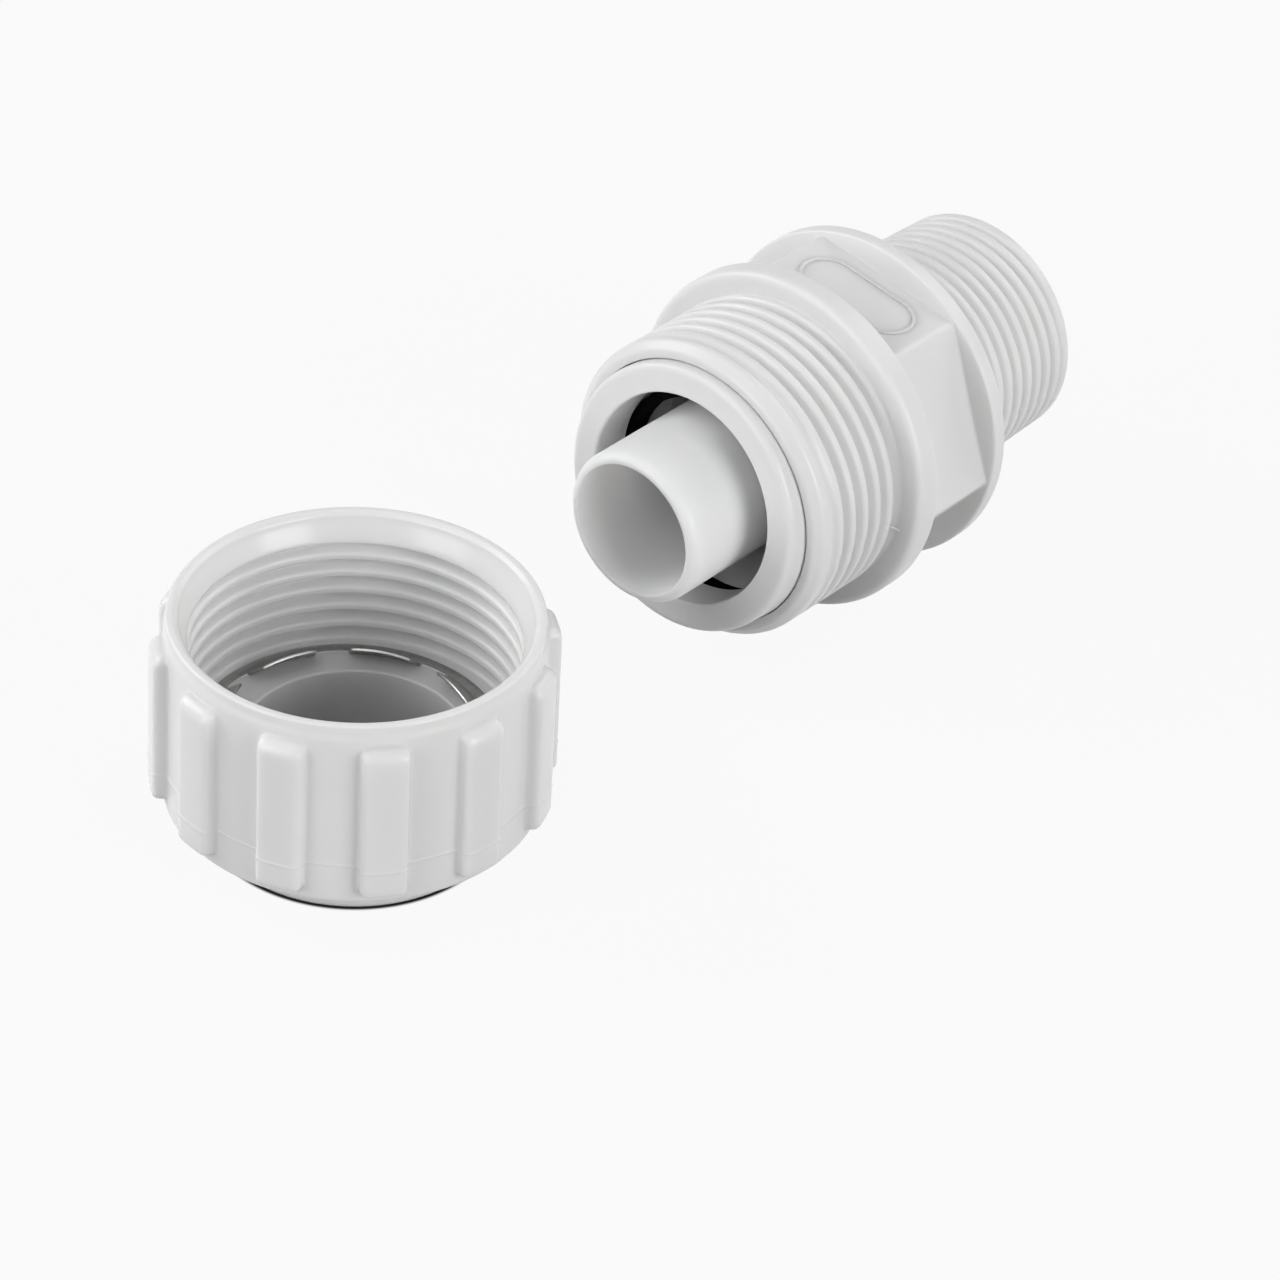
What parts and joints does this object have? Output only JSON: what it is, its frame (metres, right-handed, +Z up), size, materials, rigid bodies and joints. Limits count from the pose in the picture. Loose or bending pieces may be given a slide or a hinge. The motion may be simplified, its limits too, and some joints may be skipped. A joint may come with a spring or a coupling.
{
  "type": "compression pipe adapter",
  "caption": "Pipe adapter: a plastic body with a tapered male pipe thread and a compression end with insert, gasket and push ring, and its ribbed nut with a steel grip ring, taken off.",
  "frame": {"origin": "on the floor, midway between the outermost points of the body and the nut", "axes": "+X along the body's axis, from the compression end to the pipe thread; +Z up; the body lies on its front flange and the nut stands on its foot"},
  "size_m": [0.1182, 0.0446, 0.0392],
  "materials": {
    "white_pvc": "glossy",
    "white_insert": "glossy",
    "white_ring": "satin",
    "black_rubber": "matte",
    "stainless": "polished"
  },
  "bodies": {
    "root": {"adapter_body": "white_pvc", "insert_tube": "white_insert", "gasket": "black_rubber", "push_ring": "white_ring", "compression_nut": "white_pvc", "grip_ring": "stainless"}
  },
  "joints": []
}
